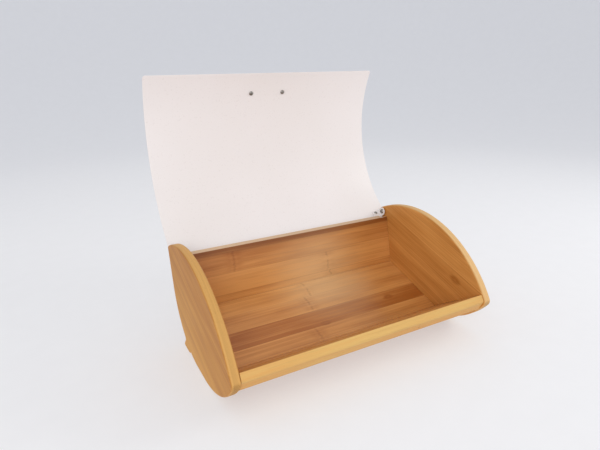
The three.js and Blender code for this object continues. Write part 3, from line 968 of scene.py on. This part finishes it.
# ---------------- lid

HANDLE_SCREW_FROM_FRONT = 0.033
HANDLE_SCREW_X = 0.0275
SCREW_SHANK = 0.0020
RIVET_RADIUS = 0.0015
RIVET_HEAD_HEIGHT = 0.001
RIVET_X = 0.1739
RIVET_FORWARD = 0.004
EAR_THICKNESS = 0.001
METAL_EASE = 0.00025
EAR_INNER_END_X, EAR_OUTER_X = [corner.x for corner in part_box("right_hinge_ear")]

EAR_OUTWARD = (PIVOT - CROWN_CENTRE).normalized()
EAR_FORWARD = left_of(EAR_OUTWARD)
PIVOT_TO_SHEET = SHEET_RADIUS - (PIVOT - CROWN_CENTRE).length
FOOT_TOP = PIVOT_TO_SHEET - 0.0005


def sheet_angle(from_front):
    return SHEET_FRONT - math.degrees(from_front / SHEET_RADIUS)


def on_sheet(a, b, c):
    """The closed sheet: a along X, b along the sheet from its free edge, c out through it."""
    return in_space(a, polar(CROWN_CENTRE, SHEET_RADIUS + c, sheet_angle(b)))


def on_ear(forward, outward):
    return PIVOT + forward * EAR_FORWARD + outward * EAR_OUTWARD


def sheet_pattern():
    """The flat sheet, with a notch beside each pivot."""
    notch = SHEET_LENGTH - NOTCH_LENGTH
    right = [
        (Vector((SHEET_HALF_WIDTH, 0)), 0.005),
        (Vector((SHEET_HALF_WIDTH, notch)), 0.003),
        (Vector((NOTCH_HALF_WIDTH, notch)), 0.002),
        (Vector((NOTCH_HALF_WIDTH, SHEET_LENGTH)), 0.002),
    ]
    left = [(Vector((-point.x, point.y)), reach) for point, reach in right[::-1]]
    return soft_polygon(right + left)


def pattern_hole(a, b, radius):
    below = 0.005
    length = 0.012
    return round_bar("hole", Vector((a, b, -below)), UP, length, radius)


def lid_sheet(material):
    facets = 110
    rivet_angle = degrees_of(on_ear(RIVET_FORWARD, PIVOT_TO_SHEET) - CROWN_CENTRE)
    rivet_from_front = math.radians(SHEET_FRONT - rivet_angle) * SHEET_RADIUS
    places = (
        (HANDLE_SCREW_X, HANDLE_SCREW_FROM_FRONT, SCREW_SHANK),
        (RIVET_X, rivet_from_front, RIVET_RADIUS),
    )
    sheet = slab("lid_shell", sheet_pattern(), 0, SHEET_THICKNESS, METAL_EASE, flat_pattern, steps=3)
    cut(sheet, *[pattern_hole(side * a, b, radius + GAP) for a, b, radius in places for side in (-1, 1)])
    lines = [SHEET_LENGTH * (i + 0.5) / facets for i in range(facets)]
    bend(sheet, lines, on_sheet)
    finish(swing_open(sheet), material, "lid", "lid_sheet")


def ear_pattern(bend_start, bend_length, foot_length):
    """The ear's flat pattern: a round end about the pivot, a straight stem and a riveted foot."""
    radius = 0.007
    stem_back = -0.0055
    foot_front = 0.009
    foot_back = -0.005
    foot_round = 0.002
    foot_start = bend_start + bend_length + 0.001
    foot_end = bend_start + bend_length + foot_length
    forward = Vector((1, 0))
    down = Vector((0, -1))
    return [
        *arc(Vector((0, 0)), radius, 180, 360, 10),
        Vector((radius, bend_start)),
        Vector((foot_front, foot_start)),
        *eased(Vector((foot_front, foot_end)), down, -forward, foot_round),
        *eased(Vector((foot_back, foot_end)), forward, down, foot_round),
        Vector((foot_back, foot_start)),
        Vector((stem_back, bend_start)),
    ]


def right_ear():
    """The ear, bent from its upright stem beside the panel to a foot that lies under the sheet."""
    middle_radius = 0.0015
    middle_x = EAR_OUTER_X - EAR_THICKNESS / 2
    foot_level = FOOT_TOP - EAR_THICKNESS / 2
    centre_x = middle_x - middle_radius
    bend_start = foot_level - middle_radius
    bend_length = math.pi / 2 * middle_radius
    foot_length = centre_x - EAR_INNER_END_X

    def place(a, b, c):
        past = b - bend_start
        if past <= 0:
            x = middle_x + c
            outward = b
        elif past <= bend_length:
            angle = past / middle_radius
            x = centre_x + (middle_radius + c) * math.cos(angle)
            outward = bend_start + (middle_radius + c) * math.sin(angle)
        else:
            x = centre_x - (past - bend_length)
            outward = foot_level + c
        return in_space(x, on_ear(a, outward))

    outline = ear_pattern(bend_start, bend_length, foot_length)
    half = EAR_THICKNESS / 2
    ear = slab("right_ear_bracket", outline, -half, half, METAL_EASE, flat_pattern, 3)
    rivet_b = bend_start + bend_length + centre_x - RIVET_X
    rivet_hole = pattern_hole(RIVET_FORWARD, rivet_b, RIVET_RADIUS + GAP)
    cut(ear, pattern_hole(0, 0, SCREW_SHANK + GAP), rivet_hole)
    bend_steps = 8
    lines = [bend_start + bend_length * i / bend_steps for i in range(bend_steps + 1)]
    return bend(ear, lines, place)


def dome(radius, height):
    """A head's profile from its crown to its rim."""
    turns = [direction(90 * i / 8) for i in range(9)]
    crown = [(radius * turn.y, 0.9 * height * (1 - turn.x)) for turn in turns]
    return [*crown, (radius, 0.93 * height), (radius - 0.0001, height)]


def screw(name, crown, heading, head_radius, head_height, shank_length):
    """A domed cross-head screw with a thread on its shank."""
    pitch = 0.0014
    core = SCREW_SHANK * 0.78
    thread_start = head_height + 0.0015
    end = head_height + shank_length
    tip_start = end - 0.003
    profile = [*dome(head_radius, head_height), (SCREW_SHANK, head_height)]
    profile.append((SCREW_SHANK * 0.98, thread_start))
    turns = int((tip_start - thread_start) / pitch)
    for i in range(turns):
        for radius, rise in ((core, 0.35), (SCREW_SHANK, 0.75), (SCREW_SHANK, 0.85)):
            profile.append((radius, thread_start + (i + rise) * pitch))
    profile += [(core, tip_start), (core * 0.35, end - 0.0002), (0, end)]
    piece = turned(name, profile, crown, heading)
    cut(piece, *cross_recess(crown, heading, head_radius, head_height))
    return piece


def cross_recess(crown, heading, head_radius, head_height):
    """Two tapered blades that sink a cross into a screw's head."""
    turn = UP.rotation_difference(heading).to_matrix()
    reach = 0.55 * head_radius
    half_width = 0.11 * head_radius
    levels = ((-0.001, 1.15 * reach, 1.1 * half_width), (0.6 * head_height, 0.45 * reach, half_width))
    corners = ((-1, -1), (1, -1), (1, 1), (-1, 1))
    tools = []
    for long_axis in (ALONG_X, Vector((0, 1, 0))):
        side_axis = Vector((long_axis.y, long_axis.x, 0))
        bm = bmesh.new()
        rings = []
        for height, length, width in levels:
            places = [s * length * long_axis + t * width * side_axis + height * UP for s, t in corners]
            rings.append([bm.verts.new(crown + turn @ place) for place in places])
        bridge(bm, rings[0], rings[1])
        bm.faces.new(rings[0])
        bm.faces.new(rings[1][::-1])
        tools.append(new_object("blade", bm))
    return tools


def rivet_profile(grip):
    """Two domed heads, grip apart."""
    head_radius = 0.003
    bottom = dome(head_radius, RIVET_HEAD_HEIGHT)
    top = [(radius, 2 * RIVET_HEAD_HEIGHT + grip - height) for radius, height in bottom[::-1]]
    shank = [(RIVET_RADIUS, RIVET_HEAD_HEIGHT), (RIVET_RADIUS, RIVET_HEAD_HEIGHT + grip)]
    return [*bottom, *shank, *top]


def right_rivet():
    rise = FOOT_TOP - EAR_THICKNESS
    grip = PIVOT_TO_SHEET + SHEET_THICKNESS - rise + 2 * GAP
    start = in_space(RIVET_X, on_ear(RIVET_FORWARD, rise - GAP - RIVET_HEAD_HEIGHT))
    return turned("right_ear_rivet_body", rivet_profile(grip), start, in_space(0, EAR_OUTWARD))


def finish_pair(right, left_name, material, body, node):
    """Finishes a right-hand piece and its mirror image."""
    left = mirrored_copy(right, left_name)
    finish(right, material, body, "right_" + node)
    finish(left, material, body, "left_" + node)


def washer_ring():
    outer = 0.0045
    rim = 0.0002
    hole = SCREW_SHANK + GAP
    low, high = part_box("right_pivot_washer")
    inward = [(hole, low.x + rim), (hole + rim, low.x), (outer - rim, low.x), (outer, low.x + rim)]
    outward = [(radius, low.x + high.x - x) for radius, x in inward[::-1]]
    ring = [*inward, *outward, inward[0]]
    return turned("right_washer_ring", ring, in_space(0, PIVOT), ALONG_X)


def pivot_screw():
    head_radius = 0.004
    head_height = 0.0022
    low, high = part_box("right_pivot_screw")
    crown = in_space(low.x, PIVOT)
    length = high.x - low.x - head_height
    return screw("right_pivot_pin", crown, ALONG_X, head_radius, head_height, length)


def hinges(enamel, plate_steel, dark_steel):
    ear = swing_open(right_ear())
    rivet = swing_open(right_rivet())
    finish_pair(ear, "left_ear_bracket", enamel, "lid", "hinge_ear")
    finish_pair(rivet, "left_ear_rivet_body", dark_steel, "lid", "ear_rivet")
    pin = pivot_screw()
    washer = washer_ring()
    finish_pair(pin, "left_pivot_pin", dark_steel, "body", "pivot_screw")
    finish_pair(washer, "left_washer_ring", plate_steel, "body", "pivot_washer")


# ---------------- handle

HANDLE_ANGLE = sheet_angle(HANDLE_SCREW_FROM_FRONT)
HANDLE_OUTWARD = direction(HANDLE_ANGLE)
HANDLE_FORWARD = left_of(HANDLE_OUTWARD)
HANDLE_SEAT = polar(CROWN_CENTRE, SHEET_RADIUS + SHEET_THICKNESS, HANDLE_ANGLE)
HANDLE_SCREW_REACH = 0.014


def on_handle(forward, outward):
    return HANDLE_SEAT + forward * HANDLE_FORWARD + outward * HANDLE_OUTWARD


def handle_outline():
    """A foot on the sheet, straight to a waist and then flared to a wider top."""
    off_sheet = 0.0005
    foot_half = 0.007
    waist = 0.008
    top = 0.020
    top_front = 0.010
    top_back = -0.008
    foot_ease = 0.0015
    waist_ease = 0.003
    top_ease = 0.0035
    return soft_polygon([
        (on_handle(-foot_half, off_sheet), foot_ease),
        (on_handle(foot_half, off_sheet), foot_ease),
        (on_handle(foot_half, waist), waist_ease),
        (on_handle(top_front, top), top_ease),
        (on_handle(top_back, top), top_ease),
        (on_handle(-foot_half, waist), waist_ease),
    ])


def handle(material, screw_material):
    """The bar on the lid's outside, and its two screws through the sheet from inside."""
    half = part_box("lid_handle")[1].x
    end_ease = 0.0018
    bar = slab("lid_grip", handle_outline(), -half, half, end_ease)
    heading = in_space(0, HANDLE_OUTWARD)
    before = 0.004
    length = before + HANDLE_SCREW_REACH + GAP
    starts = [in_space(side * HANDLE_SCREW_X, on_handle(0, -before)) for side in (-1, 1)]
    cut(bar, *[round_bar("hole", start, heading, length, SCREW_SHANK + GAP) for start in starts])
    finish(swing_open(bar), material, "lid", "lid_handle")

    head_radius = 0.0035
    head_height = 0.002
    shank = GAP + SHEET_THICKNESS + HANDLE_SCREW_REACH
    for side, name in ((-1, "left"), (1, "right")):
        crown = in_space(side * HANDLE_SCREW_X, on_handle(0, -SHEET_THICKNESS - GAP - head_height))
        piece = screw(name + "_grip_screw", crown, heading, head_radius, head_height, shank)
        finish(swing_open(piece), screw_material, "lid", name + "_handle_screw")


def dowels():
    material = dowel_wood()
    for side in ("left", "right"):
        for level in ("upper", "lower"):
            node = frame["nodes"][f"{side}_{level}_rail_dowel"]
            node.data.materials.clear()
            node.data.materials.append(material)


# ---------------- studio


def studio_paper():
    """Pale paper lit partly from behind, so that shadows on it stay light; dimmer far away."""
    graph = Graph("studio_paper")
    away = graph.add("ShaderNodeVectorMath", operation="LENGTH")
    graph.put(graph.place, away.inputs[0])
    far = graph.fade(away.outputs["Value"], 0.4, 3.2)
    grain = graph.noise(graph.place, scale=30)
    graph.shade("Base Color", graph.mix(grain, srgb("#b4b4b6"), srgb("#b8b8ba")))
    graph.shade("Emission Color", graph.mix(far, srgb("#b0b0b1"), srgb("#929499")))
    graph.shade("Emission Strength", 1.0)
    graph.shade("Roughness", 0.9)
    graph.shade("Specular IOR Level", 0.1)
    return graph.material


def backdrop():
    """A pale floor that curves up all round into a low wall."""
    floor_radius = 1.9
    sweep_radius = 1.1
    wall_top = 2.6
    sweep = [polar(Vector((floor_radius, sweep_radius)), sweep_radius, -90 + 7.5 * i) for i in range(1, 13)]
    profile = [(0, 0), (0.6, 0), (floor_radius, 0), *sweep, (floor_radius + sweep_radius, wall_top)]
    floor = turned("studio_floor", profile, Vector((0, 0, 0)), UP, 96)
    floor.data.shade_smooth()
    floor.data.materials.append(studio_paper())


def area_light(name, location, target, size, power, colour):
    data = bpy.data.lights.new(name, "AREA")
    data.shape = "DISK"
    data.size = size
    data.energy = power
    data.color = colour
    light = add_object(name, data)
    light.location = location
    light.rotation_mode = "QUATERNION"
    light.rotation_quaternion = (Vector(target) - Vector(location)).to_track_quat("-Z", "Y")


def lights():
    """A large soft key from the front left, a smaller fill from the right and an even pale sky."""
    target = (0, 0, 0.1)
    warm_white = (1.0, 0.99, 0.97)
    area_light("key", (-1.0, -1.5, 1.0), target, 1.1, 12.3, warm_white)
    area_light("fill", (1.35, -0.55, 0.9), target, 0.6, 5.8, warm_white)
    world = bpy.data.worlds.new("studio")
    world.use_nodes = True
    background = world.node_tree.nodes["Background"]
    background.inputs["Color"].default_value = (0.96, 0.97, 1.0, 1.0)
    background.inputs["Strength"].default_value = 0.68
    bpy.context.scene.world = world


def camera():
    """Looks into the open box from the front left, a little above it, with a slight roll."""
    right_of_y = 28.0
    below_level = 18.03
    roll = 1.17
    data = bpy.data.cameras.new("camera")
    data.sensor_width = 36
    data.lens = 28.47
    eye = add_object("camera", data)
    eye.location = (-0.3299, -0.5798, 0.3781)
    turned_right = Matrix.Rotation(math.radians(-right_of_y), 4, "Z")
    tilted = Matrix.Rotation(math.radians(90 - below_level), 4, "X")
    rolled = Matrix.Rotation(math.radians(-roll), 4, "Z")
    eye.rotation_mode = "QUATERNION"
    eye.rotation_quaternion = (turned_right @ tilted @ rolled).to_quaternion()
    bpy.context.scene.camera = eye
    bpy.context.scene.view_settings.view_transform = "Standard"


# ---------------- assembly

camera()
lights()
backdrop()

enamel = white_enamel()
dark_steel = steel("screw_steel", srgb("#c4beb6"), 0.8)
plate_steel = steel("washer_steel", srgb("#b9b6b2"), 0.4)
left_tones = (0.6, 0.95, 0.78, 0.50, 0.34, 0.38, 0.22, 0.25)
right_tones = (0.4, 0.5, 0.35, 0.5, 0.42, 0.6, 0.5, 0.5)
left_panel_bamboo = bamboo(
    "left_panel_bamboo", panel_strips(left_tones), GOLD_BAMBOO, AMBER_BAMBOO, 31.0, rim=RIM_BAMBOO
)
# The right panel's paler rim is painted highlight.
right_panel_bamboo = bamboo(
    "right_panel_bamboo", panel_strips(right_tones, (RIGHT_KNOT,)), BRIGHT_BAMBOO, AMBER_BAMBOO, 47.0,
    rim=PAINTED_HIGHLIGHT_RIM,
)
grip_bamboo = bamboo("grip_bamboo", handle_strips(), LIGHT_BAMBOO, MID_BAMBOO, 53.0)

side_panels(left_panel_bamboo, right_panel_bamboo)
boards()
front_rail()
dowels()
lid_sheet(enamel)
hinges(enamel, plate_steel, dark_steel)
handle(grip_bamboo, dark_steel)
